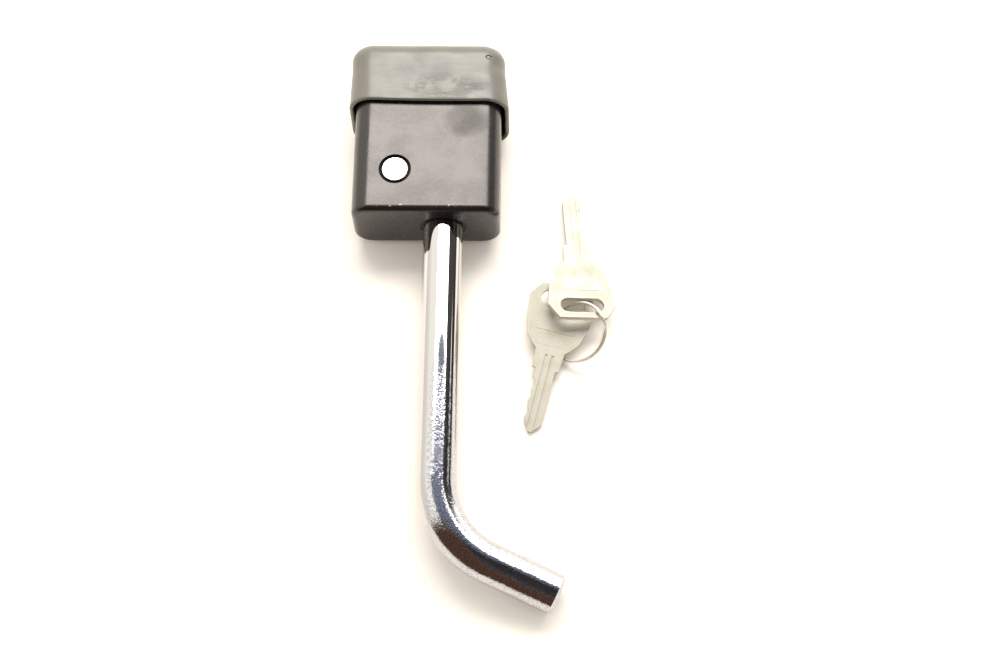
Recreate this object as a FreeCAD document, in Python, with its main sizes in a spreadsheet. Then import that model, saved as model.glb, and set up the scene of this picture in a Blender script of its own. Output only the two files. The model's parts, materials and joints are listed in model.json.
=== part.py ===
"""Locking hitch pin for a 2 inch trailer receiver, with its weather cap, two keys and split ring.

The lock lies on its back. +Z is up, +Y runs along the pin's axis from the bent leg to the cap, and the
origin is where that axis leaves the face of the lock head. Lengths are in millimetres.

Inside the head, the key turns a wafer cylinder. The cylinder's tail carries a crank whose throw pin sits
in the fork of a pawl, and the pawl's nose swings into the groove of the hitch pin. The lock is drawn open.
"""
import FreeCAD, Part
import math
import os
import re
import Sketcher

SIZES = {
    # lock head casting
    "block_left": -36.2,
    "block_right": 22.6,
    "block_half": 15,
    "block_top": 74,
    "block_corner": 7.5,
    "block_rim": 2.4,
    "top_rim": 1.2,
    # hitch pin: a 5/8 inch bar
    "shank_radius": 7.94,
    "shank_straight": 105.6,
    "bend_radius": 33,
    "bend_angle": 67.8,
    "leg_straight": 28.5,
    "tip_chamfer": 1.2,
    "leg_lean": 11.5,
    "neck_radius": 7.5,
    "neck_length": 40,
    "groove_radius": 5.5,
    "groove_low": 24.2,
    "groove_high": 31.2,
    # bore for the pin and its wiper ring
    "bore_radius": 7.58,
    "bore_depth": 41,
    "mouth_radius": 9.2,
    "mouth_depth": 4,
    "seal_inner": 7.58,
    "seal_outer": 9.12,
    # pivot and locking pawl
    "pivot_across": -19,
    "pivot_along": 18.2,
    "pivot_radius": 5.2,
    "pivot_foot": -12,
    "pivot_relief": 6.4,
    "relief_depth": 1.6,
    "pawl_half": 4,
    "pawl_bore": 5.25,
    "pawl_hub": 8.5,
    "pawl_reach": 16.9,
    "pawl_nose": 11.4,
    "pawl_nose_low": 8,
    "arm_half": 4.2,
    "arm_top": 20,
    "fork_half": 1.7,
    "fork_floor": 16.2,
    "pawl_open": 6.6,
    # crank on the cylinder's tail
    "throw": 3,
    "throw_radius": 1.25,
    "throw_start": 45,
    "throw_low": 35,
    "crank_low": 38.8,
    "crank_web": 41,
    "crank_high": 45.2,
    "crank_radius": 5.2,
    "crank_pin_radius": 0.9,
    "crank_pin_along": 43.2,
    # cylinder lock
    "tail_radius": 3,
    "journal_radius": 4,
    "clip_low": 46.2,
    "clip_high": 46.8,
    "clip_outer": 6.2,
    "barrel_low": 47.2,
    "barrel_high": 72.4,
    "barrel_radius": 8,
    "flange_radius": 8.9,
    "flange_low": 71.1,
    "plug_radius": 5.6,
    "plug_rim_radius": 6.4,
    "plug_rim_low": 71.5,
    "plug_face": 73.4,
    "key_slot_half": 1.1,
    "key_slot_tall": 4.1,
    "key_slot_low": 49,
    "wafer_first": 51,
    "wafer_pitch": 3.4,
    "wafer_thick": 1,
    "wafer_half": 3.15,
    "wafer_radius": 5.45,
    "wafer_lug": 4.4,
    "wafer_rise": 6.6,
    # carrier block, face plate and its screws
    "carrier_half_wide": 10,
    "carrier_half_deep": 10,
    "carrier_low": 46,
    "crank_room_half": 6.5,
    "crank_room_low": 34,
    "pawl_room_half": 4.3,
    "pawl_room_low": 9,
    "pawl_room_left": -28.5,
    "pawl_room_right": -9.7,
    "nose_room_low": 24,
    "nose_room_high": 33.5,
    "plate_half_wide": 14.6,
    "plate_half_deep": 10.6,
    "plate_low": 72.5,
    "plate_hole": 6.8,
    "screw_spread": 12,
    "screw_radius": 1.2,
    "screw_head": 2,
    "screw_low": 64.5,
    # weather cap
    "cap_wall": 1.7,
    "cap_gap": 0.25,
    "cap_lip": 48.5,
    "cap_rim": 4.5,
    # keys and split ring
    "key_thick": 1.9,
    "key_slot_centre": 54.4,
    "key_slot_run": 5.5,
    "key_slot_radius": 3.3,
    "key_groove": 0.35,
    "ring_radius": 11.9,
    "ring_wire": 0.55,
}
WAFERS = 5
CAVITY_PLAY = 0.1
THROUGH = 1.0

doc = FreeCAD.newDocument("hitch_pin_lock")
sheet = doc.addObject("Spreadsheet::Sheet", "Sizes")
for row, (alias, value) in enumerate(SIZES.items(), start=1):
    sheet.set(f"A{row}", alias)
    sheet.set(f"B{row}", str(value))
    sheet.setAlias(f"B{row}", alias)
doc.recompute()

UP_Y = FreeCAD.Rotation(FreeCAD.Vector(1, 0, 0), -90)
ALONG_X = FreeCAD.Rotation(FreeCAD.Vector(0, 1, 0), 90)


def bound(text):
    """Write an expression in the sheet's names the way FreeCAD binds it."""
    return re.sub(r"[a-z][a-z_]*", lambda word: named(word.group()), str(text))


def named(word):
    return "Sizes." + word if word in SIZES else word


def put(part, across="0", along="0", height="0"):
    """Bind where an object stands."""
    for key, value in zip("xyz", (across, along, height)):
        part.setExpression(f"Placement.Base.{key}", bound(value))
    return part


def box(name, low, high):
    """A block between two corners, each given as three expressions."""
    item = doc.addObject("Part::Box", name)
    for side, start, end in zip(("Length", "Width", "Height"), low, high):
        item.setExpression(side, bound(f"({end}) - ({start})"))
    return put(item, *low)


def rod(name, radius, low, high, across="0", height="0"):
    """A cylinder along Y between two stations."""
    item = doc.addObject("Part::Cylinder", name)
    item.Placement.Rotation = UP_Y
    item.setExpression("Radius", bound(radius))
    item.setExpression("Height", bound(f"({high}) - ({low})"))
    return put(item, across, low, height)


def post(name, radius, low, high, across="0", along="0"):
    """A cylinder along Z between two heights."""
    item = doc.addObject("Part::Cylinder", name)
    item.setExpression("Radius", bound(radius))
    item.setExpression("Height", bound(f"({high}) - ({low})"))
    return put(item, across, along, low)


def cone(name, wide, narrow, low, high, across="0"):
    """A cone along Y that narrows from one station to the other."""
    item = doc.addObject("Part::Cone", name)
    item.Placement.Rotation = UP_Y
    item.setExpression("Radius1", bound(wide))
    item.setExpression("Radius2", bound(narrow))
    item.setExpression("Height", bound(f"({high}) - ({low})"))
    return put(item, across, low)


def fuse(name, *parts):
    item = doc.addObject("Part::MultiFuse", name)
    item.Shapes = list(parts)
    item.Refine = True
    return item


def common(name, *parts):
    item = doc.addObject("Part::MultiCommon", name)
    item.Shapes = list(parts)
    return item


def cut(name, base, *tools):
    item = doc.addObject("Part::Cut", name)
    item.Base = base
    item.Tool = tools[0] if len(tools) == 1 else fuse(name + "_tools", *tools)
    return item


def group(name, *parts):
    item = doc.addObject("Part::Compound", name)
    item.Links = list(parts)
    return item


def new_body(name):
    return doc.addObject("PartDesign::Body", name)


def sketch_on(body, name, role, offset="0"):
    """A sketch on one of the body's own origin planes, shifted along that plane's normal."""
    planes = [item for item in body.Origin.OriginFeatures if item.Role == role]
    item = body.newObject("Sketcher::SketchObject", name)
    item.AttachmentSupport = (planes[0], [""])
    item.MapMode = "FlatFace"
    item.setExpression("AttachmentOffset.Base.z", bound(offset))
    return item


def section_at(body, name, along):
    """A sketch square to the Y axis, at one station along it."""
    return sketch_on(body, name, "XZ_Plane", f"-({along})")


def pin_point(item, geometry, end, across, up):
    """Bind one sketch point to its two coordinates."""
    for kind, axis, value in (("DistanceX", -2, across), ("DistanceY", -1, up)):
        if str(value) == "0":
            item.addConstraint(Sketcher.Constraint("PointOnObject", geometry, end, axis))
        else:
            index = item.addConstraint(Sketcher.Constraint(kind, -1, 1, geometry, end, 1.0))
            item.setExpression(f"Constraints[{index}]", bound(value))


def outline(item, corners):
    """A closed outline of straight edges, each corner bound to its two coordinates."""
    count = len(corners)
    spots = [
        FreeCAD.Vector(math.cos(2 * math.pi * index / count), math.sin(2 * math.pi * index / count), 0)
        for index in range(count)
    ]
    for index in range(count):
        item.addGeometry(Part.LineSegment(spots[index], spots[(index + 1) % count]), False)
    for index in range(count):
        item.addConstraint(Sketcher.Constraint("Coincident", index, 2, (index + 1) % count, 1))
    for index, (across, up) in enumerate(corners):
        pin_point(item, index, 1, across, up)
    return item


def rectangle(item, left, right, low, high):
    return outline(item, [(left, low), (right, low), (right, high), (left, high)])


def circle(item, radius, across="0", up="0"):
    """A circle bound by its radius and centre."""
    spot = FreeCAD.Vector(0, 0, 0)
    index = item.addGeometry(Part.Circle(spot, FreeCAD.Vector(0, 0, 1), 1.0), False)
    item.setExpression(
        f"Constraints[{item.addConstraint(Sketcher.Constraint('Radius', index, 1.0))}]", bound(radius)
    )
    pin_point(item, index, 3, across, up)
    return item


def pad(body, profile, length, backwards=False):
    """Push a sketch out along its normal, or the other way."""
    item = body.newObject("PartDesign::Pad", profile.Name + "_pad")
    item.Profile = profile
    item.Reversed = backwards
    item.setExpression("Length", bound(length))
    profile.Visibility = False
    return item


def pocket(body, profile, depth, backwards=False):
    """Cut a sketch into the body against its normal, or the other way."""
    item = body.newObject("PartDesign::Pocket", profile.Name + "_pocket")
    item.Profile = profile
    item.Reversed = backwards
    item.setExpression("Length", bound(depth))
    profile.Visibility = False
    return item


def row_of(body, feature, direction, count, pitch):
    """Repeat a feature along one of the body's sketch normals."""
    doc.recompute()
    item = body.newObject("PartDesign::LinearPattern", feature.Name + "_row")
    item.Originals = [feature]
    item.Direction = direction
    item.Reversed = True
    item.Occurrences = count
    item.setExpression("Length", bound(f"({count} - 1) * ({pitch})"))
    body.Tip = item
    return item


def turned(name, corners):
    """A body turned about the Y axis from an outline of radius and station pairs."""
    body = new_body(name)
    profile = outline(sketch_on(body, name + "_profile", "XY_Plane"), corners)
    item = body.newObject("PartDesign::Revolution", name + "_turn")
    item.Profile = profile
    item.ReferenceAxis = (profile, ["V_Axis"])
    item.Angle = 360
    return body


def edges_where(feature, test):
    """Names of the feature's edges that pass a test."""
    return [f"Edge{index}" for index, edge in enumerate(feature.Shape.Edges, 1) if test(edge)]


def round_edges(body, name, test, radius):
    """Fillet the edges of the body's newest shape that pass a test."""
    doc.recompute()
    base = body.Tip
    item = body.newObject("PartDesign::Fillet", name)
    item.Base = (base, edges_where(base, test))
    item.setExpression("Radius", bound(radius))
    return item


def runs_along(edge):
    size = edge.BoundBox
    return size.YLength > 1 and size.XLength < 1e-6 and size.ZLength < 1e-6


def lies_at(feature, station):
    """A test for edges that lie at the lowest or the highest station of a shape."""
    wanted = getattr(feature.Shape.BoundBox, station)

    def test(edge):
        return abs(edge.BoundBox.YMin - wanted) < 1e-6 and abs(edge.BoundBox.YMax - wanted) < 1e-6

    return test


def head_form(name, grow, low, rim):
    """The head's block from one station up, grown by a margin, with rounded long edges and a rounded far rim."""
    body = new_body(name)
    base = rectangle(section_at(body, name + "_section", low), f"block_left - ({grow})", f"block_right + {grow}",
                     f"-(block_half + {grow})", f"block_half + {grow}")
    pad(body, base, f"block_top + {grow} - ({low})", backwards=True)
    round_edges(body, name + "_corners", runs_along, f"block_corner + {grow}")
    doc.recompute()
    round_edges(body, name + "_rim", lies_at(body.Tip, "YMax"), rim)
    return body


def make_lock_housing():
    """Cast head: a rounded block with the pin bore, the pawl room and the cylinder cavity."""
    body = head_form("lock_housing", "0", "0", "top_rim")
    doc.recompute()
    round_edges(body, "housing_seat_rim", lies_at(body.Tip, "YMin"), "block_rim")

    def room(name, low, high, left, right, half):
        profile = rectangle(section_at(body, name, low), left, right, f"-({half})", half)
        pocket(body, profile, f"({high}) - ({low})")

    def hole(name, low, high, radius, across):
        pocket(body, circle(section_at(body, name, low), radius, across), f"({high}) - ({low})")

    middle = "pivot_across"
    wide = f"(carrier_half_wide + {CAVITY_PLAY})"
    hole("pin_bore", "-1", "bore_depth", "bore_radius", "0")
    hole("pin_mouth", "-1", "mouth_depth", "mouth_radius", "0")
    room("carrier_room", "carrier_low", f"block_top + {THROUGH}", f"{middle} - {wide}",
         f"{middle} + {wide}", f"carrier_half_deep + {CAVITY_PLAY}")
    room("crank_room", "crank_room_low", "carrier_low", f"{middle} - {wide}", f"{middle} + {wide}",
         "crank_room_half")
    room("pawl_room", "pawl_room_low", "crank_room_low", "pawl_room_left", "pawl_room_right",
         "pawl_room_half")
    room("nose_room", "nose_room_low", "nose_room_high", "pawl_room_right - 0.2", "-groove_radius",
         "pawl_room_half")
    room("plate_recess", "plate_low", f"block_top + {THROUGH}", f"{middle} - plate_half_wide - {CAVITY_PLAY}",
         f"{middle} + plate_half_wide + {CAVITY_PLAY}", f"plate_half_deep + {CAVITY_PLAY}")
    hole("left_screw_hole", "screw_low - 1", "plate_low", "screw_radius", f"{middle} - screw_spread")
    hole("right_screw_hole", "screw_low - 1", "plate_low", "screw_radius", f"{middle} + screw_spread")
    pivot = circle(sketch_on(body, "pivot_hole", "XY_Plane", "pivot_foot"), "pivot_radius", middle,
                   "pivot_along")
    pocket(body, pivot, f"block_half - pivot_foot + {THROUGH}", backwards=True)
    relief = circle(sketch_on(body, "pivot_relief_ring", "XY_Plane", "block_half - relief_depth"),
                    "pivot_relief", middle, "pivot_along")
    pocket(body, relief, f"relief_depth + {THROUGH}", backwards=True)
    return body


def make_pin_seal():
    """Rubber wiper ring in the bore's mouth, which grips the pin and turns with it."""
    low, high = "0.3", "mouth_depth - 0.1"
    return turned("pin_seal", [("seal_inner", f"{low} + 0.5"), ("seal_inner + 0.4", low), ("seal_outer", low),
                               ("seal_outer", high), ("seal_inner", high)])


def make_hitch_pin():
    """Bent bar: a grooved neck in the head, the load-bearing shank, one bend and a short leg."""
    neck = turned("pin_neck", [
        ("0", "-1"), ("neck_radius", "-1"), ("neck_radius", "groove_low"), ("groove_radius", "groove_low"),
        ("groove_radius", "groove_high"), ("neck_radius", "groove_high"), ("neck_radius", "neck_length - 1.5"),
        ("neck_radius - 1.5", "neck_length"), ("0", "neck_length"),
    ])
    shank = rod("pin_shank", "shank_radius", "-shank_straight", "0")
    bend = doc.addObject("Part::Torus", "pin_bend")
    bend.setExpression("Radius1", bound("bend_radius"))
    bend.setExpression("Radius2", bound("shank_radius"))
    bend.setExpression("Angle3", bound("bend_angle"))
    bend.Placement.Rotation = FreeCAD.Rotation(FreeCAD.Vector(0, 0, 1), 180)
    put(bend, "bend_radius", "-shank_straight")
    leg = fuse("pin_leg",
               rod("leg_bar", "shank_radius", "tip_chamfer - leg_straight", "0"),
               cone("leg_tip", "shank_radius - tip_chamfer", "shank_radius", "-leg_straight",
                    "tip_chamfer - leg_straight"))
    leg.Placement.Rotation = FreeCAD.Rotation(FreeCAD.Vector(0, 0, 1), SIZES["bend_angle"])
    leg.setExpression("Placement.Rotation.Angle", bound("bend_angle"))
    put(leg, "bend_radius * (1 - cos(bend_angle * 1deg))",
        "-shank_straight - bend_radius * sin(bend_angle * 1deg)")
    item = fuse("hitch_pin", neck, shank, bend, leg)
    item.Placement.Rotation = FreeCAD.Rotation(FreeCAD.Vector(0, 1, 0), SIZES["leg_lean"])
    item.setExpression("Placement.Rotation.Angle", bound("leg_lean"))
    return item


def make_pivot_pin():
    """Polished cross pin that the pawl swings on, driven in from the head's front face."""
    bar = post("pivot_bar", "pivot_radius", "pivot_foot", "block_half")
    item = doc.addObject("Part::Chamfer", "pivot_pin")
    doc.recompute()
    ends = [index for index, edge in enumerate(bar.Shape.Edges, 1) if edge.Length > 1.01 * bar.Height.Value]
    item.Base = bar
    item.Edges = [(index, 0.3, 0.3) for index in ends]
    return put(item, "pivot_across", "pivot_along")


def make_locking_pawl():
    """Sector pawl with a hub, a nose for the pin's groove and a fork for the crank."""
    half = ("-pawl_half", "pawl_half")
    hub = post("pawl_boss", "pawl_hub", *half)
    arm = box("pawl_arm", ("-arm_half", "0", half[0]), ("arm_half", "arm_top", half[1]))
    nose = common("pawl_sector",
                  post("pawl_swing", "pawl_reach", *half),
                  box("pawl_beak", ("0", "pawl_nose_low", half[0]), ("pawl_nose", "pawl_reach", half[1])))
    eye = post("pawl_eye", "pawl_bore", "-pawl_half - 1", "pawl_half + 1")
    fork = box("pawl_fork", ("-fork_half", "fork_floor", "-pawl_half - 1"),
               ("fork_half", "arm_top + 1", "pawl_half + 1"))
    item = cut("locking_pawl", fuse("pawl_blank", hub, arm, nose), eye, fork)
    item.Placement.Rotation = FreeCAD.Rotation(FreeCAD.Vector(0, 0, 1), SIZES["pawl_open"])
    item.setExpression("Placement.Rotation.Angle", bound("pawl_open"))
    return put(item, "pivot_across", "pivot_along")


def make_cylinder_carrier():
    """Zinc block that fills the cavity and holds the cylinder."""
    body = new_body("cylinder_carrier")
    base = rectangle(section_at(body, "carrier_section", "carrier_low"), "-carrier_half_wide",
                     "carrier_half_wide", "-carrier_half_deep", "carrier_half_deep")
    pad(body, base, "barrel_high - carrier_low", backwards=True)
    pocket(body, circle(section_at(body, "carrier_bore", "carrier_low - 1"), "barrel_radius + 0.02"),
           "barrel_high - carrier_low + 2")
    pocket(body, circle(section_at(body, "carrier_seat", "flange_low - 0.1"), "flange_radius + 0.05"),
           "barrel_high - flange_low + 2")
    return put(body, "pivot_across")


def make_cylinder_body():
    """Fixed barrel of the lock, with grooves that catch the wafers every quarter turn."""
    body = turned("cylinder_body", [
        ("plug_radius + 0.1", "barrel_low"), ("barrel_radius", "barrel_low"), ("barrel_radius", "flange_low"),
        ("flange_radius", "flange_low"), ("flange_radius", "barrel_high"), ("plug_rim_radius + 0.1", "barrel_high"),
        ("plug_rim_radius + 0.1", "plug_rim_low - 0.1"), ("plug_radius + 0.1", "plug_rim_low - 0.1"),
    ])
    doc.recompute()
    width, reach, start = "wafer_half + 0.45", "wafer_rise", "wafer_first - 1"
    length = f"{WAFERS} * wafer_pitch"
    upright = rectangle(section_at(body, "upright_grooves", start), f"-({width})", width, f"-{reach}", reach)
    pocket(body, upright, length)
    level = rectangle(section_at(body, "level_grooves", start), f"-{reach}", reach, f"-({width})", width)
    pocket(body, level, length)
    return put(body, "pivot_across")


def make_cylinder_plug():
    """Turning plug with its keyway, five wafer slots with spring pockets, and the tail."""
    body = turned("plug_turned", [
        ("0", "crank_web"), ("tail_radius", "crank_web"), ("tail_radius", "crank_high + 0.2"),
        ("journal_radius", "crank_high + 0.2"), ("journal_radius", "clip_low - 0.05"),
        ("journal_radius - 0.7", "clip_low - 0.05"), ("journal_radius - 0.7", "clip_high + 0.05"),
        ("journal_radius", "clip_high + 0.05"), ("journal_radius", "barrel_low + 0.1"),
        ("plug_radius", "barrel_low + 0.1"), ("plug_radius", "plug_rim_low"), ("plug_rim_radius", "plug_rim_low"),
        ("plug_rim_radius", "plug_face"), ("0", "plug_face"),
    ])
    keyway = rectangle(section_at(body, "keyway", "key_slot_low"), "-key_slot_half", "key_slot_half",
                       "-key_slot_tall", "key_slot_tall")
    pocket(body, keyway, "plug_face - key_slot_low + 1")
    slot = rectangle(section_at(body, "wafer_slot", "wafer_first - 0.05"), "-wafer_half - 0.05",
                     "wafer_half + 0.05", "-plug_radius - 1", "plug_radius + 1")
    row_of(body, pocket(body, slot, "wafer_thick + 0.1"), (slot, ["N_Axis"]), WAFERS, "wafer_pitch")
    well = rectangle(section_at(body, "spring_well", "wafer_first - 0.15"), "wafer_half", "wafer_lug + 0.15",
                     "-2.3", "3.05")
    row_of(body, pocket(body, well, "wafer_thick + 0.3"), (well, ["N_Axis"]), WAFERS, "wafer_pitch")
    cross = rod("plug_cross_hole", "crank_pin_radius + 0.01", "-crank_radius", "crank_radius")
    cross.Placement.Rotation = ALONG_X
    put(cross, "-crank_radius", "crank_pin_along")
    item = cut("cylinder_plug", body, cross)
    return put(item, "pivot_across")


def make_wafer(number):
    """Brass wafer: a slice of the plug's round with a window for the key and a lug for its spring."""
    low = f"wafer_first + {number - 1} * wafer_pitch"
    high = f"{low} + wafer_thick"
    window = 3.2 + 0.15 * (number * 2 % WAFERS)
    name = f"wafer_{number}"
    slice_round = common(name + "_blank",
                         rod(name + "_disc", "wafer_radius", low, high),
                         box(name + "_sides", ("-wafer_half", low, "-wafer_radius"),
                             ("wafer_half", high, "wafer_radius")))
    lug = box(name + "_lug", ("wafer_half - 0.5", low, "1.3"), ("wafer_lug", high, "2.1"))
    key_window = box(name + "_window", ("-1.3", f"{low} - 1", f"-{window}"), ("1.3", f"{high} + 1", "4"))
    item = cut(name, fuse(name + "_body", slice_round, lug), key_window)
    return put(item, "pivot_across")


def make_wafer_springs():
    """Five small coil springs, one beside each wafer under its lug."""
    mean_radius, wire, turns, foot, top = 0.42, 0.1, 5, -2.1, 1.15
    springs = []
    for number in range(WAFERS):
        helix = Part.makeHelix((top - foot) / turns, top - foot, mean_radius)
        start = FreeCAD.Vector(mean_radius, 0, 0)
        section = Part.Wire([Part.makeCircle(wire, start, FreeCAD.Vector(0, 1, 0))])
        coil = Part.Wire(helix.Edges).makePipeShell([section], True, True)
        middle = sheet.wafer_first + number * sheet.wafer_pitch + sheet.wafer_thick / 2
        coil.translate(FreeCAD.Vector((sheet.wafer_half + sheet.wafer_lug) / 2 + 0.1, middle, foot))
        springs.append(coil)
    item = doc.addObject("Part::Feature", "wafer_springs")
    item.Shape = Part.makeCompound(springs)
    return put(item, "pivot_across")


def make_plug_clip():
    """Open clip in the tail's groove that keeps the plug in the barrel."""
    ring = turned("clip_ring", [("journal_radius - 0.65", "clip_low"), ("clip_outer", "clip_low"),
                                ("clip_outer", "clip_high"), ("journal_radius - 0.65", "clip_high")])
    gap = box("clip_gap", ("-2.4", "clip_low - 1", "0"), ("2.4", "clip_high + 1", "clip_outer + 1"))
    return put(cut("plug_clip", ring, gap), "pivot_across")


def make_crank():
    """Crank pinned on the tail; its throw pin drives the pawl's fork."""
    collar = turned("crank_collar", [
        ("0", "crank_low"), ("crank_radius", "crank_low"), ("crank_radius", "crank_high"),
        ("tail_radius + 0.02", "crank_high"), ("tail_radius + 0.02", "crank_web"), ("0", "crank_web"),
    ])
    offset = "throw * sin(throw_start * 1deg)"
    throw = rod("crank_throw", "throw_radius", "throw_low", "crank_low + 0.5", f"-{offset}", offset)
    hole = rod("crank_cross_hole", "crank_pin_radius + 0.01", "-crank_radius - 1", "crank_radius + 1")
    hole.Placement.Rotation = ALONG_X
    put(hole, "-crank_radius - 1", "crank_pin_along")
    return put(cut("crank", fuse("crank_blank", collar, throw), hole), "pivot_across")


def make_crank_pin():
    """Roll pin through the crank and the tail."""
    item = rod("crank_roll_pin", "crank_pin_radius", "-crank_radius + 0.2", "crank_radius - 0.2")
    item.Placement.Rotation = ALONG_X
    return put(item, "pivot_across - crank_radius + 0.2", "crank_pin_along")


def make_face_plate():
    """Steel plate that closes the cavity round the keyhole."""
    body = new_body("face_plate_blank")
    base = rectangle(section_at(body, "plate_section", "plate_low"), "-plate_half_wide", "plate_half_wide",
                     "-plate_half_deep", "plate_half_deep")
    pad(body, base, "block_top - plate_low", backwards=True)
    round_edges(body, "plate_corners", runs_along, "2.5")
    pocket(body, circle(section_at(body, "plate_eye", "plate_low - 1"), "plate_hole"), "4")
    sinks = []
    for side, sign in (("left", "-"), ("right", "")):
        across = f"{sign}screw_spread"
        sinks.append(cone(f"{side}_sink", "screw_radius + 0.05", "screw_head + 0.1", "plate_low", "block_top",
                          across))
        sinks.append(rod(f"{side}_sink_mouth", "screw_head + 0.1", "block_top", "block_top + 1", across))
    return put(cut("face_plate", body, *sinks), "pivot_across")


def make_face_plate_screws():
    """Two countersunk screws with a slot."""
    screws = []
    for side, sign in (("left", "-"), ("right", "")):
        across = f"{sign}screw_spread"
        shank = rod(f"{side}_screw_shank", "screw_radius - 0.03", "screw_low", "plate_low + 0.2", across)
        head = cone(f"{side}_screw_head", "screw_radius - 0.03", "screw_head", "plate_low + 0.05", "block_top - 0.05",
                    across)
        slot = box(f"{side}_screw_slot", (f"{across} - 3", "block_top - 0.7", "-0.3"),
                   (f"{across} + 3", "block_top + 1", "0.3"))
        screws.append(cut(f"{side}_screw", fuse(f"{side}_screw_blank", shank, head), slot))
    return put(group("face_plate_screws", *screws), "pivot_across")


def make_weather_cap():
    """Soft rubber cap that slips over the keyed end of the head."""
    outer = head_form("cap_outside", "cap_gap + cap_wall", "cap_lip", "cap_rim")
    inner = head_form("cap_inside", "cap_gap", "cap_lip - 2", "top_rim")
    return cut("weather_cap", outer, inner)


KEY_OUTLINE = [
    (0.8, 0), (3.9, 3.5), (3.9, 25.3), (5.4, 26), (5.8, 33.5), (8, 35.5), (10.4, 38.5), (12.6, 45.5),
    (13.7, 54), (9.4, 60.3), (-9.4, 60.3), (-13.7, 54), (-12.6, 45.5), (-10.4, 38.5), (-8, 35.5),
    (-5.8, 33.5), (-5.4, 26), (-3.9, 25.3), (-3.9, 22), (-2.6, 20), (-2.6, 18.2), (-3.5, 16.4), (-2.8, 14),
    (-3.7, 12), (-3.2, 9.8), (-2.3, 8), (-3.6, 5.2), (-0.8, 0),
]
KEY_GROOVES = ((-1.5, -0.6), (1.1, 2.0))


def make_key(name, tip, turn, rise, roll):
    """Flat cut key with its tip at the given spot; the bow end rises from the surface it lies on."""
    body = new_body(name + "_blank")
    corners = [(f"{across}", f"{along}") for across, along in KEY_OUTLINE]
    pad(body, outline(sketch_on(body, name + "_outline", "XY_Plane"), corners), "key_thick")
    for index, (left, right) in enumerate(KEY_GROOVES):
        for face, height, cut_up in (("top", "key_thick - key_groove", True), ("under", "key_groove", False)):
            groove = sketch_on(body, f"{name}_{face}_groove_{index}", "XY_Plane", height)
            rectangle(groove, f"{left}", f"{right}", "-1", "31.6")
            pocket(body, groove, "key_groove + 0.5", backwards=cut_up)
    ends = [post(f"{name}_eye_{side}", "key_slot_radius", "-1", "key_thick + 1", across, "key_slot_centre")
            for side, across in (("left", "-key_slot_run"), ("right", "key_slot_run"))]
    waist = box(name + "_eye_waist", ("-key_slot_run", "key_slot_centre - key_slot_radius", "-1"),
                ("key_slot_run", "key_slot_centre + key_slot_radius", "key_thick + 1"))
    item = cut(name, body, *ends, waist)
    rotation = (FreeCAD.Rotation(FreeCAD.Vector(0, 0, 1), turn)
                * FreeCAD.Rotation(FreeCAD.Vector(1, 0, 0), rise)
                * FreeCAD.Rotation(FreeCAD.Vector(0, 1, 0), roll))
    item.Placement = FreeCAD.Placement(FreeCAD.Vector(*tip), rotation)
    return item


def make_split_ring(centre, high_side, tilt):
    """Split ring of two flat turns joined by one sloping step."""
    step, points = 30, []
    layer = sheet.ring_wire * 1.02
    for index in range(97):
        angle = step / 2 + index * (720 - step) / 96
        share = min(max((angle - 360 + step / 2) / step, 0), 1)
        height = layer * (2 * share * share * (3 - 2 * share) - 1)
        along = math.radians(angle)
        points.append(FreeCAD.Vector(sheet.ring_radius * math.cos(along), sheet.ring_radius * math.sin(along),
                                     height))
    line = Part.BSplineCurve()
    line.interpolate(points)
    start = line.tangent(line.FirstParameter)[0]
    section = Part.Wire([Part.makeCircle(sheet.ring_wire, points[0], start)])
    item = doc.addObject("Part::Feature", "split_ring")
    item.Shape = Part.Wire([line.toShape()]).makePipeShell([section], True, True)
    rotation = (FreeCAD.Rotation(FreeCAD.Vector(0, 0, 1), high_side)
                * FreeCAD.Rotation(FreeCAD.Vector(0, 1, 0), -tilt))
    item.Placement = FreeCAD.Placement(FreeCAD.Vector(*centre), rotation)
    return item


SUBPARTS = {
    "lock_housing": make_lock_housing(),
    "cylinder_carrier": make_cylinder_carrier(),
    "face_plate": make_face_plate(),
    "face_plate_screws": make_face_plate_screws(),
    "cylinder_body": make_cylinder_body(),
    "cylinder_plug": make_cylinder_plug(),
    "wafer_springs": make_wafer_springs(),
    "plug_clip": make_plug_clip(),
    "crank": make_crank(),
    "crank_roll_pin": make_crank_pin(),
    "locking_pawl": make_locking_pawl(),
    "pivot_pin": make_pivot_pin(),
    "pin_seal": make_pin_seal(),
    "hitch_pin": make_hitch_pin(),
    "weather_cap": make_weather_cap(),
}
for number in range(1, WAFERS + 1):
    SUBPARTS[f"wafer_{number}"] = make_wafer(number)
SUBPARTS["key_1"] = make_key("key_1", tip=(50.98, 21.56, -16.8), turn=-175.45, rise=10.74, roll=-9.81)
SUBPARTS["key_2"] = make_key("key_2", tip=(34.81, -80.44, -16.86), turn=-13.9, rise=6.86, roll=5.1)
SUBPARTS["split_ring"] = make_split_ring(centre=(53.87, -40.79, -9.91), high_side=16.29, tilt=30.89)

doc.recompute()


def check_and_write():
    """Refuse a failed or broken object, then write one STEP file for each sub-part."""
    failed = [item.Name for item in doc.Objects if {"Invalid", "Error"} & set(item.State)]
    if failed:
        raise RuntimeError(f"failed objects: {failed}")
    os.makedirs("parts", exist_ok=True)
    for label, item in SUBPARTS.items():
        item.Label = label
        shape = item.Shape
        if shape.isNull() or not shape.isValid() or not shape.Solids:
            raise RuntimeError(f"{label} has no valid solid")
        shape.exportStep(f"parts/{label}.step")
        print(f"{label:20s} solids {len(shape.Solids)}  volume {shape.Volume:10.1f}")


check_and_write()
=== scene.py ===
import json
import math

import bmesh
import bpy
from mathutils import Matrix, Vector, noise


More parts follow.
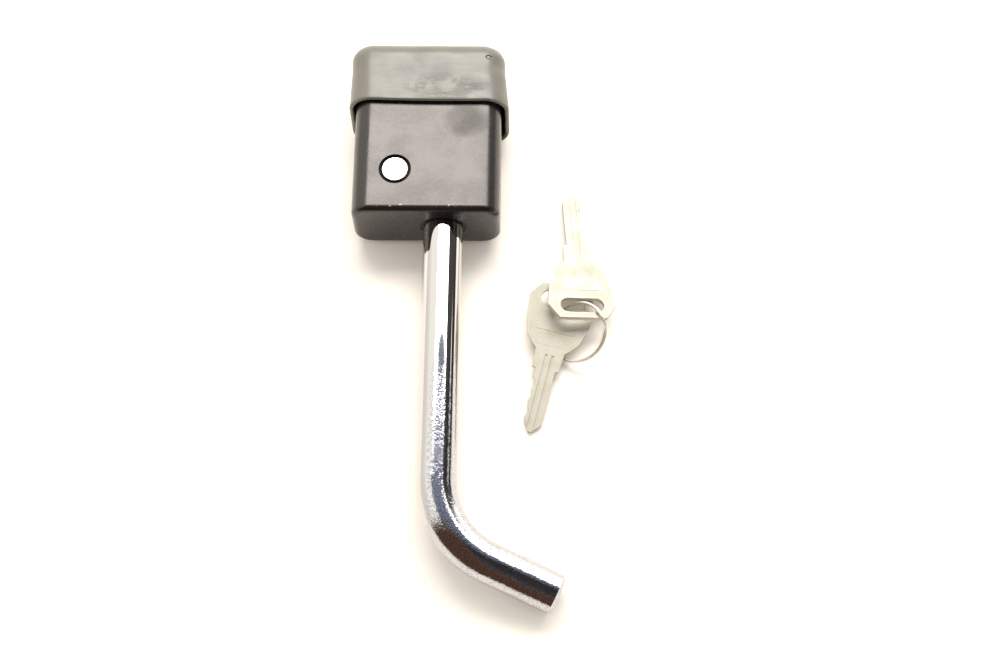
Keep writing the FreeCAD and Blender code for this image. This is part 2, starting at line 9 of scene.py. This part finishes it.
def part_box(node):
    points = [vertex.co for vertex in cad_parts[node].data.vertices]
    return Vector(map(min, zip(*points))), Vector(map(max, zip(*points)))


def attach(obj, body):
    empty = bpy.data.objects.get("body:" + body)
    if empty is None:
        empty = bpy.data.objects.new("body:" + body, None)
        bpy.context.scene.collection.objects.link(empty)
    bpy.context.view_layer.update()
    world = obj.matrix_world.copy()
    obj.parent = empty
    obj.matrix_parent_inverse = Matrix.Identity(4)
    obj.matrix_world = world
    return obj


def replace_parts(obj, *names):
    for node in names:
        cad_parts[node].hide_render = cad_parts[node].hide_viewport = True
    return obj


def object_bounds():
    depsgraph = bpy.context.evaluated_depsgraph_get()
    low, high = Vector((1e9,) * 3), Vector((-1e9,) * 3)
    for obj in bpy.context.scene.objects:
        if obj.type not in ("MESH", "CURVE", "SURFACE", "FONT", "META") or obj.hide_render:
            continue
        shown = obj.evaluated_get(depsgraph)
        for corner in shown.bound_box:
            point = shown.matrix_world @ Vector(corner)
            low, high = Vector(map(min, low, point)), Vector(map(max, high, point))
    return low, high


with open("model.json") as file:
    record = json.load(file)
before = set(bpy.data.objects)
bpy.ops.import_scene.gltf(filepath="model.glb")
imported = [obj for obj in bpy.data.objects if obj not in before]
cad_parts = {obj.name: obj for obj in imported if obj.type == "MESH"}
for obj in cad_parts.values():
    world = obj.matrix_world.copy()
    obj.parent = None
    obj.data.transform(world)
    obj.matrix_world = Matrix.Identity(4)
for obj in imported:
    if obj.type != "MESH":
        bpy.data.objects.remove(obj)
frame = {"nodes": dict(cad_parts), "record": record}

nodes = frame["nodes"]
cad_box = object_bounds()
MM = 0.001
TABLE = cad_box[0][2]


# ---------------------------------------------------------------- materials

class Surface:
    """A Principled material whose colour, roughness and relief come from procedural layers."""

    def __init__(self, name, **constants):
        self.material = bpy.data.materials.new(name)
        self.material.use_nodes = True
        self.tree = self.material.node_tree
        self.tree.nodes.clear()
        self.output = self.tree.nodes.new("ShaderNodeOutputMaterial")
        self.shader = self.tree.nodes.new("ShaderNodeBsdfPrincipled")
        self.link(self.shader.outputs[0], self.output.inputs["Surface"])
        for socket, value in constants.items():
            self.shader.inputs[socket.replace("_", " ")].default_value = value
        self.place = self.tree.nodes.new("ShaderNodeTexCoord").outputs["Object"]

    def link(self, source, target):
        self.tree.links.new(source, target)

    def feed(self, socket, value):
        """Connect a socket to a layer, or set it to a constant."""
        if isinstance(value, bpy.types.NodeSocket):
            self.link(value, socket)
        else:
            socket.default_value = value

    def scaled(self, per_mm):
        """Object coordinates in units of the given number of cells per millimetre on each axis."""
        mapping = self.tree.nodes.new("ShaderNodeMapping")
        mapping.inputs["Scale"].default_value = [value / MM for value in per_mm]
        self.link(self.place, mapping.inputs["Vector"])
        return mapping.outputs["Vector"]

    def noise(self, per_mm, detail=3.0, rough=0.55, warp=0.0):
        if not isinstance(per_mm, tuple):
            per_mm = (per_mm,) * 3
        item = self.tree.nodes.new("ShaderNodeTexNoise")
        item.inputs["Scale"].default_value = 1.0
        item.inputs["Detail"].default_value = detail
        item.inputs["Roughness"].default_value = rough
        item.inputs["Distortion"].default_value = warp
        self.link(self.scaled(per_mm), item.inputs["Vector"])
        return item.outputs["Fac"]

    def cells(self, per_mm):
        item = self.tree.nodes.new("ShaderNodeTexVoronoi")
        item.inputs["Scale"].default_value = 1.0
        self.link(self.scaled((per_mm,) * 3), item.inputs["Vector"])
        return item.outputs["Distance"]

    def span(self, value, low, high, to_low=0.0, to_high=1.0):
        """Map a value's stretch low..high onto to_low..to_high."""
        item = self.tree.nodes.new("ShaderNodeMapRange")
        item.interpolation_type = "SMOOTHSTEP"
        limits = {"From Min": low, "From Max": high, "To Min": to_low, "To Max": to_high}
        for socket, number in limits.items():
            item.inputs[socket].default_value = number
        self.link(value, item.inputs["Value"])
        return item.outputs["Result"]

    def math(self, operation, first, second=0.0):
        item = self.tree.nodes.new("ShaderNodeMath")
        item.operation = operation
        self.feed(item.inputs[0], first)
        self.feed(item.inputs[1], second)
        return item.outputs[0]

    def mix(self, share, first, second):
        """Blend two colours."""
        item = self.tree.nodes.new("ShaderNodeMix")
        item.data_type = "RGBA"
        self.feed(item.inputs["Factor"], share)
        self.feed(item.inputs[6], first if not isinstance(first, tuple) else (*first, 1))
        self.feed(item.inputs[7], second if not isinstance(second, tuple) else (*second, 1))
        return item.outputs[2]

    def axis(self, letter):
        """One object coordinate in millimetres."""
        split = self.tree.nodes.new("ShaderNodeSeparateXYZ")
        self.link(self.scaled((1, 1, 1)), split.inputs[0])
        return split.outputs[letter]

    def blob(self, centre, reach):
        """Soft oval patch, 1 at its centre in X and Y and 0 past its reach."""
        parts = []
        for letter, middle, size in zip("XY", centre, reach):
            offset = self.math("DIVIDE", self.math("SUBTRACT", self.axis(letter), middle), size)
            parts.append(self.math("MULTIPLY", offset, offset))
        return self.span(self.math("ADD", *parts), 1.0, 0.2)

    def colour(self, value):
        self.feed(self.shader.inputs["Base Color"], value)
        return self

    def roughness(self, value):
        self.feed(self.shader.inputs["Roughness"], value)
        return self

    def relief(self, *layers):
        """Stack bump layers, each a (height, depth in mm) pair."""
        normal = None
        for height, depth in layers:
            bump = self.tree.nodes.new("ShaderNodeBump")
            bump.inputs["Strength"].default_value = 1.0
            bump.inputs["Distance"].default_value = depth * MM
            self.link(height, bump.inputs["Height"])
            if normal is not None:
                self.link(normal, bump.inputs["Normal"])
            normal = bump.outputs["Normal"]
        self.link(normal, self.shader.inputs["Normal"])
        return self


def black_coating():
    """Semi-gloss black paint on a casting: a hazy film in soft clouds, bright chips along the lower edge."""
    item = Surface("black_coating", IOR=1.6, Specular_Tint=(1.0, 0.925, 0.875, 1.0))
    clouds = item.noise(0.075, detail=2, rough=0.5)
    mottle = item.noise(0.6, detail=5, rough=0.7)
    grain = item.noise(1.6, detail=4, rough=0.7)
    clean = item.math("MULTIPLY", item.blob((9, 40), (11, 9)), 0.5)
    film = item.math("ADD", item.span(clouds, 0.34, 0.68), item.span(mottle, 0.3, 0.7, -0.15, 0.15))
    base = item.mix(item.math("SUBTRACT", film, clean), (0.004, 0.0034, 0.003), (0.0095, 0.0082, 0.0074))
    chips = item.cells(0.21)
    edge = item.math("MULTIPLY", item.span(item.axis("Y"), 1.6, 2.0), item.span(item.axis("Y"), 2.9, 2.4))
    front = item.math("MULTIPLY", edge, item.span(item.axis("Z"), 14.2, 14.6))
    chipped = item.math("MULTIPLY", front, item.span(item.noise(0.35, detail=4), 0.55, 0.62))
    chipped = item.math("MULTIPLY", chipped, item.span(chips, 0.55, 0.35))
    item.colour(item.mix(chipped, base, (0.62, 0.58, 0.53)))
    haze = item.span(clouds, 0.34, 0.68, 0.3, 0.22)
    haze = item.math("ADD", haze, item.span(mottle, 0.3, 0.7, 0.025, -0.025))
    haze = item.math("ADD", haze, item.math("MULTIPLY", clean, 0.3))
    sunk_ring = item.span(item.blob((-19, 18.2), (6.9, 6.9)), 0.04, 0.14)
    haze = item.math("ADD", haze, item.math("MULTIPLY", sunk_ring, 0.65))
    item.roughness(item.math("ADD", haze, item.span(grain, 0.25, 0.8, -0.02, 0.03)))
    return item.relief((grain, 0.007), (item.noise(0.28, detail=2), 0.012))


def grey_rubber():
    """Olive-grey moulded rubber, polished by handling: scuffs above the lip, a stain, a small dent with
    painted shade in it.
    """
    item = Surface("grey_rubber", IOR=1.5)
    clouds = item.noise(0.06, detail=3, rough=0.5)
    scuffs = item.noise((0.16, 0.9, 0.4), detail=6, rough=0.75, warp=0.8)
    patches = item.span(item.noise(0.12, detail=2), 0.36, 0.5)
    worn = item.math("MULTIPLY", item.blob((0, 54), (20, 7)), patches)
    scuffed = item.math("MULTIPLY", item.span(scuffs, 0.52, 0.66), worn)
    stain = item.math("MULTIPLY", item.blob((14, 54.5), (5.5, 3.2)), item.span(item.axis("Z"), 5, 9))
    dent_with_painted_shade = item.math("MULTIPLY", item.blob((17.5, 68.2), (1.6, 1.1)), item.span(item.axis("Z"), 5, 9))
    base = item.mix(item.span(clouds, 0.35, 0.7), (0.131, 0.121, 0.1), (0.108, 0.101, 0.085))
    base = item.mix(scuffed, base, (0.26, 0.25, 0.232))
    base = item.mix(item.math("MULTIPLY", stain, 0.6), base, (0.062, 0.064, 0.062))
    # Painted shade: the dent's colour is darkened toward near black, standing in for the shade that falls in
    # it.
    item.colour(item.mix(item.math("MULTIPLY", dent_with_painted_shade, 0.7), base, (0.04, 0.04, 0.038)))
    haze = item.math("ADD", item.span(clouds, 0.3, 0.75, 0.3, 0.4), item.span(scuffs, 0.4, 0.8, -0.04, 0.1))
    item.roughness(item.math("SUBTRACT", haze, item.math("MULTIPLY", dent_with_painted_shade, 0.2)))
    rubbed = item.math("MULTIPLY", scuffs, item.math("ADD", worn, 0.15))
    return item.relief((item.noise(2.2, detail=3), 0.008), (rubbed, 0.25), (dent_with_painted_shade, -0.5))


def chrome_plate():
    """Bright chrome with a faint ripple; bluish, pitted and speckled toward the bend, where it is worn."""
    item = Surface("chrome_plate", Metallic=1.0)
    ripple = item.noise((0.05, 0.16, 0.05), detail=2)
    worn = item.span(item.axis("Y"), -52, -84)
    worn = item.math("MULTIPLY", worn, item.span(item.axis("X"), -4.2, -2.4))
    pitting = item.noise(1.8, detail=1, rough=0.5)
    speck = item.math("MULTIPLY", item.span(item.noise(1.7, detail=2), 0.5, 0.6), worn)
    item.colour(item.mix(speck, (0.6, 0.59, 0.58), (0.36, 0.38, 0.46)))
    haze = item.span(ripple, 0.2, 0.8, 0.03, 0.05)
    item.roughness(item.math("ADD", haze, item.math("MULTIPLY", speck, 0.03)))
    return item.relief((item.math("MULTIPLY", pitting, worn), 0.055), (ripple, 0.01))


def steel(name, tone, rough, along, spread=0.12):
    """Plain or polished steel with drawn lines along one axis."""
    item = Surface(name, Metallic=1.0)
    lines = item.noise(along, detail=4, rough=0.7)
    clouds = item.noise(0.12, detail=3)
    dark = tuple(value * 0.8 for value in tone)
    item.colour(item.mix(item.span(lines, 0.35, 0.7), tone, dark))
    item.roughness(item.span(clouds, 0.3, 0.7, rough, rough + spread))
    return item.relief((lines, 0.004))


def casting(name, tone, rough):
    """Bare die casting: grainy and dull."""
    item = Surface(name, Metallic=1.0)
    grain = item.noise(1.3, detail=5, rough=0.7)
    item.colour(item.mix(item.span(grain, 0.35, 0.7), tone, tuple(value * 0.72 for value in tone)))
    item.roughness(item.span(grain, 0.3, 0.7, rough, rough + 0.15))
    return item.relief((grain, 0.02))


def black_rubber():
    item = Surface("black_rubber")
    grain = item.noise(1.1, detail=4)
    item.colour(item.mix(item.span(grain, 0.4, 0.65), (0.012, 0.012, 0.012), (0.026, 0.025, 0.024)))
    item.roughness(item.span(grain, 0.3, 0.7, 0.5, 0.68))
    return item.relief((grain, 0.02))


def nickel_brass():
    """Nickel-plated brass: pale, softly brushed, warm where the plating thins."""
    item = Surface("nickel_brass", Metallic=0.56)
    lines = item.noise(2.2, detail=5, rough=0.75)
    thin = item.noise(0.16, detail=4, rough=0.65)
    item.colour(item.mix(item.span(thin, 0.45, 0.7), (0.475, 0.45, 0.38), (0.445, 0.41, 0.325)))
    item.roughness(item.math("ADD", item.span(thin, 0.3, 0.7, 0.5, 0.6), item.span(lines, 0.3, 0.8, 0, 0.08)))
    return item.relief((lines, 0.012))


def lock_brass():
    item = Surface("lock_brass", Metallic=1.0)
    rings = item.noise((0.5, 5.0, 0.5), detail=3)
    stain = item.noise(0.3, detail=4)
    item.colour(item.mix(item.span(stain, 0.4, 0.7), (0.78, 0.58, 0.28), (0.6, 0.42, 0.19)))
    item.roughness(item.span(rings, 0.3, 0.7, 0.25, 0.4))
    return item.relief((rings, 0.006))


MATERIALS = {
    "black_coating": black_coating(),
    "grey_rubber": grey_rubber(),
    "chrome_plate": chrome_plate(),
    "black_rubber": black_rubber(),
    "polished_steel": steel("polished_steel", (0.8, 0.79, 0.77), 0.2, (3.0, 3.0, 0.3), 0.08),
    "plate_steel": steel("plate_steel", (0.6, 0.6, 0.59), 0.28, (0.15, 2.0, 3.5)),
    "screw_steel": steel("screw_steel", (0.55, 0.55, 0.56), 0.3, (2.0, 2.0, 2.0)),
    "spring_steel": steel("spring_steel", (0.45, 0.45, 0.47), 0.3, (2.0, 2.0, 2.0)),
    "zinc_casting": casting("zinc_casting", (0.5, 0.5, 0.49), 0.42),
    "lock_brass": lock_brass(),
    "nickel_brass": nickel_brass(),
    "ring_steel": steel("ring_steel", (0.85, 0.8, 0.71), 0.28, (0.3, 0.3, 0.3)),
}


def dress(item, slot_name):
    """Give an object one of the materials above."""
    item.data.materials.clear()
    item.data.materials.append(MATERIALS[slot_name].material)


for part in frame["record"]["subparts"]:
    dress(nodes[part["node"]], part["material_slot"])


# ---------------------------------------------------------------- made pieces

def new_piece(name, mesh, slot_name, body):
    """An object from a bmesh, in one of the materials, riding on a body."""
    data = bpy.data.meshes.new(name)
    bmesh.ops.recalc_face_normals(mesh, faces=mesh.faces[:])
    mesh.to_mesh(data)
    mesh.free()
    item = bpy.data.objects.new(name, data)
    bpy.context.scene.collection.objects.link(item)
    dress(item, slot_name)
    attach(item, body)
    return item


def ease(value):
    value = min(max(value, 0.0), 1.0)
    return value * value * (3 - 2 * value)


def rounded_loop(left, right, half, corner, count):
    """Points and outward normals round a rounded rectangle in X and Z, evenly spaced, in millimetres."""
    across, up = right - left - 2 * corner, 2 * (half - corner)
    arc = math.pi * corner / 2
    runs = [(across, (left + corner, half), (1, 0), 0), (arc, (right - corner, half - corner), None, 90),
            (up, (right, half - corner), (0, -1), 0), (arc, (right - corner, corner - half), None, 0),
            (across, (right - corner, -half), (-1, 0), 0), (arc, (left + corner, corner - half), None, -90),
            (up, (left, corner - half), (0, 1), 0), (arc, (left + corner, half - corner), None, 180)]
    total = sum(run[0] for run in runs)
    loop = []
    for index in range(count):
        along = total * index / count
        for length, start, heading, angle in runs:
            if along <= length:
                break
            along -= length
        if heading:
            spot = (start[0] + heading[0] * along, start[1] + heading[1] * along)
            normal = (-heading[1], heading[0])
        else:
            turn = math.radians(angle) - along / corner
            normal = (math.cos(turn), math.sin(turn))
            spot = (start[0] + corner * normal[0], start[1] + corner * normal[1])
        loop.append((Vector(spot), Vector(normal)))
    return loop


# The cap, in millimetres: wall, corner and rim radii, how far its top leans to the left, how high the lip's
# flare and wave reach, and the depth of the wall's waviness.
CAP_WALL = 1.7
CAP_CORNER = 9.45
CAP_RIM, CAP_INNER_RIM = 6.5, 1.4
CAP_LEAN = 0.75
FLARE_HEIGHT = 17
WAVE_HEIGHT = 12
WAVINESS = 0.16


def quarter(count, first=1):
    """Evenly spaced angles of a quarter turn, in radians."""
    return [math.pi / 2 * step / count for step in range(first, count + 1)]


def stitch(mesh, first, second):
    """Faces between two rings of the same number of vertices."""
    for index in range(len(first)):
        after = (index + 1) % len(first)
        mesh.faces.new((first[index], first[after], second[after], second[index]))


def closing_rings(ring, height, across, middle, count=8):
    """Rings that shrink an outline, held level, toward its middle line."""
    rings = []
    for step in range(1, count + 1):
        share = step / (count + 0.6)
        level = []
        for point in ring:
            hub = min(max(point[0], middle - across / 2), middle + across / 2)
            level.append((point[0] + (hub - point[0]) * share, height, point[2] * (1 - share)))
        rings.append(level)
    return rings


def weather_cap(low, high):
    """Soft cap as one closed shell: a flared wavy lip, leaning walls, a rounded rim and a flat top."""
    left, right, half, top, lip = low.x, high.x, high.z, high.y, low.y
    around, walls = 144, 22
    lip_round = CAP_WALL / 2
    outer = rounded_loop(left, right, half, CAP_CORNER, around)
    inner = rounded_loop(left + CAP_WALL, right - CAP_WALL, half - CAP_WALL, CAP_CORNER - CAP_WALL, around)

    def lip_wave(spot):
        """How far the lip's edge rises or dips at a place round the cap."""
        share = (spot.x - left) / (right - left)
        front = 0.4 - 3.0 * share + 2.5 * share * share
        back = -2.6 - 0.4 * share
        return back + (front - back) * (spot.y + half) / (2 * half)

    def flare(spot, normal, height):
        """How far the lip stands out from the block at this height."""
        side = 0.75 + 0.45 * max(normal.x, 0) + 0.15 * max(-normal.x, 0)
        return side * max(0.0, 1 - (height - lip) / FLARE_HEIGHT) * max(0.0, min(1.0, 0.9 + normal.y))

    def uneven(spot, height):
        """Small waviness of the moulded wall, less of it at the lip."""
        depth = WAVINESS * min(1.0, (height - lip) / 4 + 0.2)
        return depth * noise.fractal((spot.x / 14, height / 9, spot.y / 14), 0.9, 2.0, 3)

    def placed(loop, inset, height, outside):
        """One ring of points: the loop drawn in by the inset, flared and waved for its height."""
        ring = []
        for spot, normal in loop:
            wave = lip_wave(spot) * (1 - ease((height - lip) / WAVE_HEIGHT))
            point = spot + normal * (flare(spot, normal, height) - inset)
            if outside:
                point = point + normal * uneven(spot, height)
                point.x -= CAP_LEAN * ease((height - lip) / (top - lip))
                point.y = max(point.y, -half)
            ring.append((point.x, height + wave, point.y))
        return ring

    def lip_height(turn):
        return lip + lip_round * (1 + math.sin(turn)) * 0.6

    shoulder = lip + lip_round
    rings = []
    for turn in [angle - math.pi / 2 for angle in quarter(4, 0)]:
        rings.append(placed(outer, lip_round * (1 - math.cos(turn)), lip_height(turn), True))
    for step in range(1, walls + 1):
        rings.append(placed(outer, 0, shoulder + (top - CAP_RIM - shoulder) * step / walls, True))
    for turn in quarter(10):
        height = top - CAP_RIM + CAP_RIM * math.sin(turn)
        rings.append(placed(outer, CAP_RIM * (1 - math.cos(turn)), height, True))
    across = right - left - 2 * half
    rings += closing_rings(rings[-1], top, across, (left + right) / 2 - CAP_LEAN)

    under = top - CAP_WALL
    drawn_in = [spot - normal * CAP_INNER_RIM for spot, normal in inner]
    edge = [(spot.x, under, spot.y) for spot in drawn_in]
    inside = [edge] + closing_rings(edge, under, across, (left + right) / 2)
    inside.reverse()
    for turn in quarter(5):
        lean = math.pi / 2 - turn
        height = under - CAP_INNER_RIM + CAP_INNER_RIM * math.sin(lean)
        inside.append(placed(inner, CAP_INNER_RIM * (1 - math.cos(lean)), height, False))
    for step in range(1, walls + 1):
        drop = (under - CAP_INNER_RIM - shoulder) * step / walls
        inside.append(placed(inner, 0, under - CAP_INNER_RIM - drop, False))
    for turn in quarter(4):
        inside.append(placed(inner, -lip_round * (1 - math.cos(turn)), lip_height(-turn), False))

    mesh = bmesh.new()
    shells = []
    for stack in (rings, inside):
        loops = [[mesh.verts.new(Vector(point) * MM) for point in ring] for ring in stack]
        for first, second in zip(loops, loops[1:]):
            stitch(mesh, first, second)
        shells.append(loops)
    shell, core = shells
    stitch(mesh, core[-1], shell[0])
    mesh.faces.new(shell[-1])
    mesh.faces.new(core[0])
    bmesh.ops.remove_doubles(mesh, verts=mesh.verts[:], dist=0.004 * MM)
    for face in mesh.faces:
        face.smooth = True
    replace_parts(new_piece("cap_shell", mesh, "grey_rubber", "cap"), "weather_cap")


# The keys, in millimetres along and across from the tip: half width at each distance, the ring's slot, the
# plain panel, the hatched stretch of the bow and the bands left plain round them.
KEY_THICK = 1.9
KEY_OUTLINE = [(0.8, 0), (3.9, 3.5), (3.9, 25.3), (5.4, 26), (5.8, 33.5),
               (8, 35.5), (10.4, 38.5), (12.6, 45.5), (13.7, 54), (9.4, 60.3)]
SLOT_CENTRE, SLOT_RUN, SLOT_RADIUS = 54.4, 5.5, 3.3
KEY_PANEL = (-7.2, 7.2, 41.2, 47.4)
KNURL_START, KNURL_MIDDLE, KNURL_END = 35.3, 47, 59.5
EDGE_BAND, SLOT_BAND, PANEL_BAND = 0.9, 0.8, 0.5
KNURL_PITCH, KNURL_RISE, PANEL_RISE = 0.78, 0.11, 0.14
SUNK = 0.03
EDGE_ROUND = 0.13


def bow_half_width(along):
    """Half the bow's width at a distance from the key's tip."""
    for (near, low), (far, high) in zip(KEY_OUTLINE, KEY_OUTLINE[1:]):
        if low <= along <= high and high > low:
            return near + (far - near) * (along - low) / (high - low)
    return 0.0


def on_knurl(across, along):
    """True where the bow is cross-hatched: clear of its edge, the slot and the plain panel."""
    if along < KNURL_START or along > KNURL_END or abs(across) > bow_half_width(along) - EDGE_BAND:
        return False
    if math.hypot(max(abs(across) - SLOT_RUN, 0), along - SLOT_CENTRE) < SLOT_RADIUS + SLOT_BAND:
        return False
    left, right, low, high = KEY_PANEL
    beside = left - PANEL_BAND < across < right + PANEL_BAND
    return not (beside and low - PANEL_BAND < along < high + PANEL_BAND)


def key_vertex(mesh, place, across, along, level):
    """A vertex at a spot in the key's own axes, in millimetres."""
    return mesh.verts.new(place @ (Vector((across, along, level)) * MM))


def add_knurl(mesh, place, face, outward):
    """Rows of small pyramids standing on one face of the bow."""
    diagonal = math.sqrt(0.5)
    reach = KNURL_PITCH * diagonal * 0.96
    for row in range(-60, 61):
        for column in range(-60, 61):
            across = (row - column) * KNURL_PITCH * diagonal
            along = KNURL_MIDDLE + (row + column) * KNURL_PITCH * diagonal
            if not on_knurl(across, along):
                continue
            feet = [(across + reach, along), (across, along + reach),
                    (across - reach, along), (across, along - reach)]
            base = [key_vertex(mesh, place, *foot, face - outward * SUNK) for foot in feet]
            peak = key_vertex(mesh, place, across, along, face + outward * KNURL_RISE)
            mesh.faces.new(base)
            for index in range(4):
                mesh.faces.new((base[index], base[(index + 1) % 4], peak))


def add_panel(mesh, place, face, outward):
    """Plain raised panel in the middle of the bow."""
    left, right, low, high = KEY_PANEL
    slope = 0.16
    rings = []
    for inset, level in ((0, -SUNK), (0, PANEL_RISE - 0.06), (slope * 0.4, PANEL_RISE), (slope, PANEL_RISE)):
        corners = [(left + inset, low + inset), (right - inset, low + inset),
                   (right - inset, high - inset), (left + inset, high - inset)]
        rings.append([key_vertex(mesh, place, *corner, face + outward * level) for corner in corners])
    for first, second in zip(rings, rings[1:]):
        stitch(mesh, first, second)
    mesh.faces.new(rings[-1])
    mesh.faces.new(rings[0])


def detailed_key(node, body, tip, turn, rise, roll):
    """The cut key with softened edges, a cross-hatched bow and a plain panel on each face."""
    mesh = bmesh.new()
    mesh.from_mesh(nodes[node].data)
    bmesh.ops.remove_doubles(mesh, verts=mesh.verts[:], dist=0.001 * MM)
    bmesh.ops.dissolve_limit(mesh, angle_limit=math.radians(1.0), verts=mesh.verts[:], edges=mesh.edges[:])
    sharp = [edge for edge in mesh.edges
             if len(edge.link_faces) == 2 and edge.calc_face_angle() > math.radians(40)]
    bmesh.ops.bevel(mesh, geom=sharp, offset=EDGE_ROUND * MM, segments=2, profile=0.6,
                    affect="EDGES", clamp_overlap=True)
    place = (Matrix.Translation(Vector(tip) * MM) @ Matrix.Rotation(math.radians(turn), 4, "Z")
             @ Matrix.Rotation(math.radians(rise), 4, "X") @ Matrix.Rotation(math.radians(roll), 4, "Y"))
    for face, outward in ((KEY_THICK, 1), (0.0, -1)):
        add_knurl(mesh, place, face, outward)
        add_panel(mesh, place, face, outward)
    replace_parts(new_piece(node + "_cut", mesh, "nickel_brass", body), node)


weather_cap(*(Vector(corner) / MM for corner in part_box("weather_cap")))
# Tips in millimetres and turns in degrees, the same as in part.py.
detailed_key("key_1", "first_key", (50.98, 21.56, -16.8), -175.45, 10.74, -9.81)
detailed_key("key_2", "second_key", (34.81, -80.44, -16.86), -13.9, 6.86, 5.1)


# ---------------------------------------------------------------- floor, light, camera

def stage_floor():
    """Plain pale table under the lowest point of the part."""
    mesh = bpy.data.meshes.new("table_top")
    reach = 3.0
    corners = [(-reach, -reach), (reach, -reach), (reach, reach), (-reach, reach)]
    mesh.from_pydata([(*corner, TABLE) for corner in corners], [], [(0, 1, 2, 3)])
    table = bpy.data.objects.new("table_top", mesh)
    bpy.context.scene.collection.objects.link(table)
    item = Surface("table_paper", Roughness=0.7)
    fibre = item.noise(0.05, detail=3)
    item.colour(item.mix(item.span(fibre, 0.3, 0.7), (0.86, 0.805, 0.74), (0.84, 0.78, 0.71)))
    table.data.materials.append(item.material)


def soft_light(name, place, size, radiance, tint, turn):
    """Rectangular soft light of the given radiance, facing down and turned about the vertical."""
    lamp = bpy.data.lights.new(name, "AREA")
    lamp.shape = "RECTANGLE"
    lamp.size, lamp.size_y = size
    lamp.energy = radiance * math.pi * size[0] * size[1]
    lamp.color = tint
    item = bpy.data.objects.new(name, lamp)
    item.location = place
    item.rotation_euler.z = math.radians(turn)
    item.visible_camera = False
    bpy.context.scene.collection.objects.link(item)


def room():
    """World: plain pale to the camera, even fill on matt surfaces, and in reflections a room with bright left
    and back walls, a dim ceiling, a dark right side with a bright slot, and dark behind the camera."""
    world = bpy.data.worlds.new("studio")
    bpy.context.scene.world = world
    world.use_nodes = True
    tree = world.node_tree
    tree.nodes.clear()
    output = tree.nodes.new("ShaderNodeOutputWorld")
    path = tree.nodes.new("ShaderNodeLightPath")
    split = tree.nodes.new("ShaderNodeSeparateXYZ")
    place = tree.nodes.new("ShaderNodeTexCoord").outputs["Generated"]
    tree.links.new(place, split.inputs[0])

    def background(colour, strength):
        item = tree.nodes.new("ShaderNodeBackground")
        item.inputs["Strength"].default_value = strength
        if isinstance(colour, tuple):
            item.inputs["Color"].default_value = (*colour, 1)
        else:
            tree.links.new(colour, item.inputs["Color"])
        return item.outputs[0]

    def choose(share, first, second):
        item = tree.nodes.new("ShaderNodeMixShader")
        for socket, source in zip(item.inputs, (share, first, second)):
            tree.links.new(source, socket)
        return item.outputs[0]

    def ramp(source, low, high):
        item = tree.nodes.new("ShaderNodeMapRange")
        item.interpolation_type = "SMOOTHSTEP"
        item.inputs["From Min"].default_value = low
        item.inputs["From Max"].default_value = high
        tree.links.new(source, item.inputs["Value"])
        return item.outputs["Result"]

    def span(letter, low, high):
        return ramp(split.outputs[letter], low, high)

    def plane(normal, low, high):
        item = tree.nodes.new("ShaderNodeVectorMath")
        item.operation = "DOT_PRODUCT"
        item.inputs[1].default_value = normal
        tree.links.new(place, item.inputs[0])
        return ramp(item.outputs["Value"], low, high)

    def both(first, second):
        item = tree.nodes.new("ShaderNodeMath")
        item.operation = "MULTIPLY"
        tree.links.new(first, item.inputs[0])
        tree.links.new(second, item.inputs[1])
        return item.outputs[0]

    def layer(share, under, over):
        item = tree.nodes.new("ShaderNodeMix")
        item.data_type = "RGBA"
        tree.links.new(share, item.inputs["Factor"])
        if isinstance(under, tuple):
            item.inputs[6].default_value = (*under, 1)
        else:
            tree.links.new(under, item.inputs[6])
        item.inputs[7].default_value = (*over, 1)
        return item.outputs[2]

    ceiling = (0.3, 0.32, 0.42)
    behind = plane((-0.4, 1.0, 0.0), 0.09, 0.0)
    mixed = layer(span("X", 0.58, 0.62), ceiling, (0.1, 0.09, 0.088))
    mixed = layer(span("X", -0.4, -0.43), mixed, (1.45, 1.4, 1.3))
    mixed = layer(span("X", -0.76, -0.93), mixed, (1.1, 1.05, 0.97))
    mixed = layer(span("Y", 0.5, 0.58), mixed, (2.2, 2.15, 2.05))
    mixed = layer(both(behind, span("X", 0.06, -0.06)), mixed, (0.12, 0.064, 0.043))
    mixed = layer(both(behind, span("X", -0.06, 0.06)), mixed, (0.05, 0.045, 0.045))
    slot = both(span("Z", 0.26, 0.28), span("Z", 0.35, 0.33))
    slot = both(slot, both(span("X", 0.78, 0.82), span("Y", 0.4, 0.36)))
    mixed = layer(slot, mixed, (1.6, 1.58, 1.52))
    reflected = background(mixed, 1.0)
    fill = background((1.0, 0.985, 0.955), 1.02)
    seen = background((1.0, 0.99, 0.975), 1.0)
    lit = choose(path.outputs["Is Diffuse Ray"], reflected, fill)
    tree.links.new(choose(path.outputs["Is Camera Ray"], lit, seen), output.inputs["Surface"])


def photo_camera():
    """Camera fitted to the photo's view."""
    data = bpy.data.cameras.new("photo_view")
    data.sensor_width = 36
    data.lens = 63.949
    data.clip_start = 0.01
    camera = bpy.data.objects.new("photo_view", data)
    turn = Matrix.Rotation(math.radians(22.06), 3, "X") @ Matrix.Rotation(math.radians(1.139), 3, "Y")
    turn = turn @ Matrix.Rotation(math.radians(0.406), 3, "Z")
    camera.matrix_world = Matrix.Translation((0.03698, -0.3045, 0.6407)) @ turn.to_4x4()
    bpy.context.scene.collection.objects.link(camera)
    bpy.context.scene.camera = camera


stage_floor()
soft_light("overhead_softbox", (0.155, 0.6, 0.92), (1.17, 0.54), 10.3, (1.0, 0.975, 0.94), 5)
room()
photo_camera()
bpy.context.scene.view_settings.view_transform = "Standard"
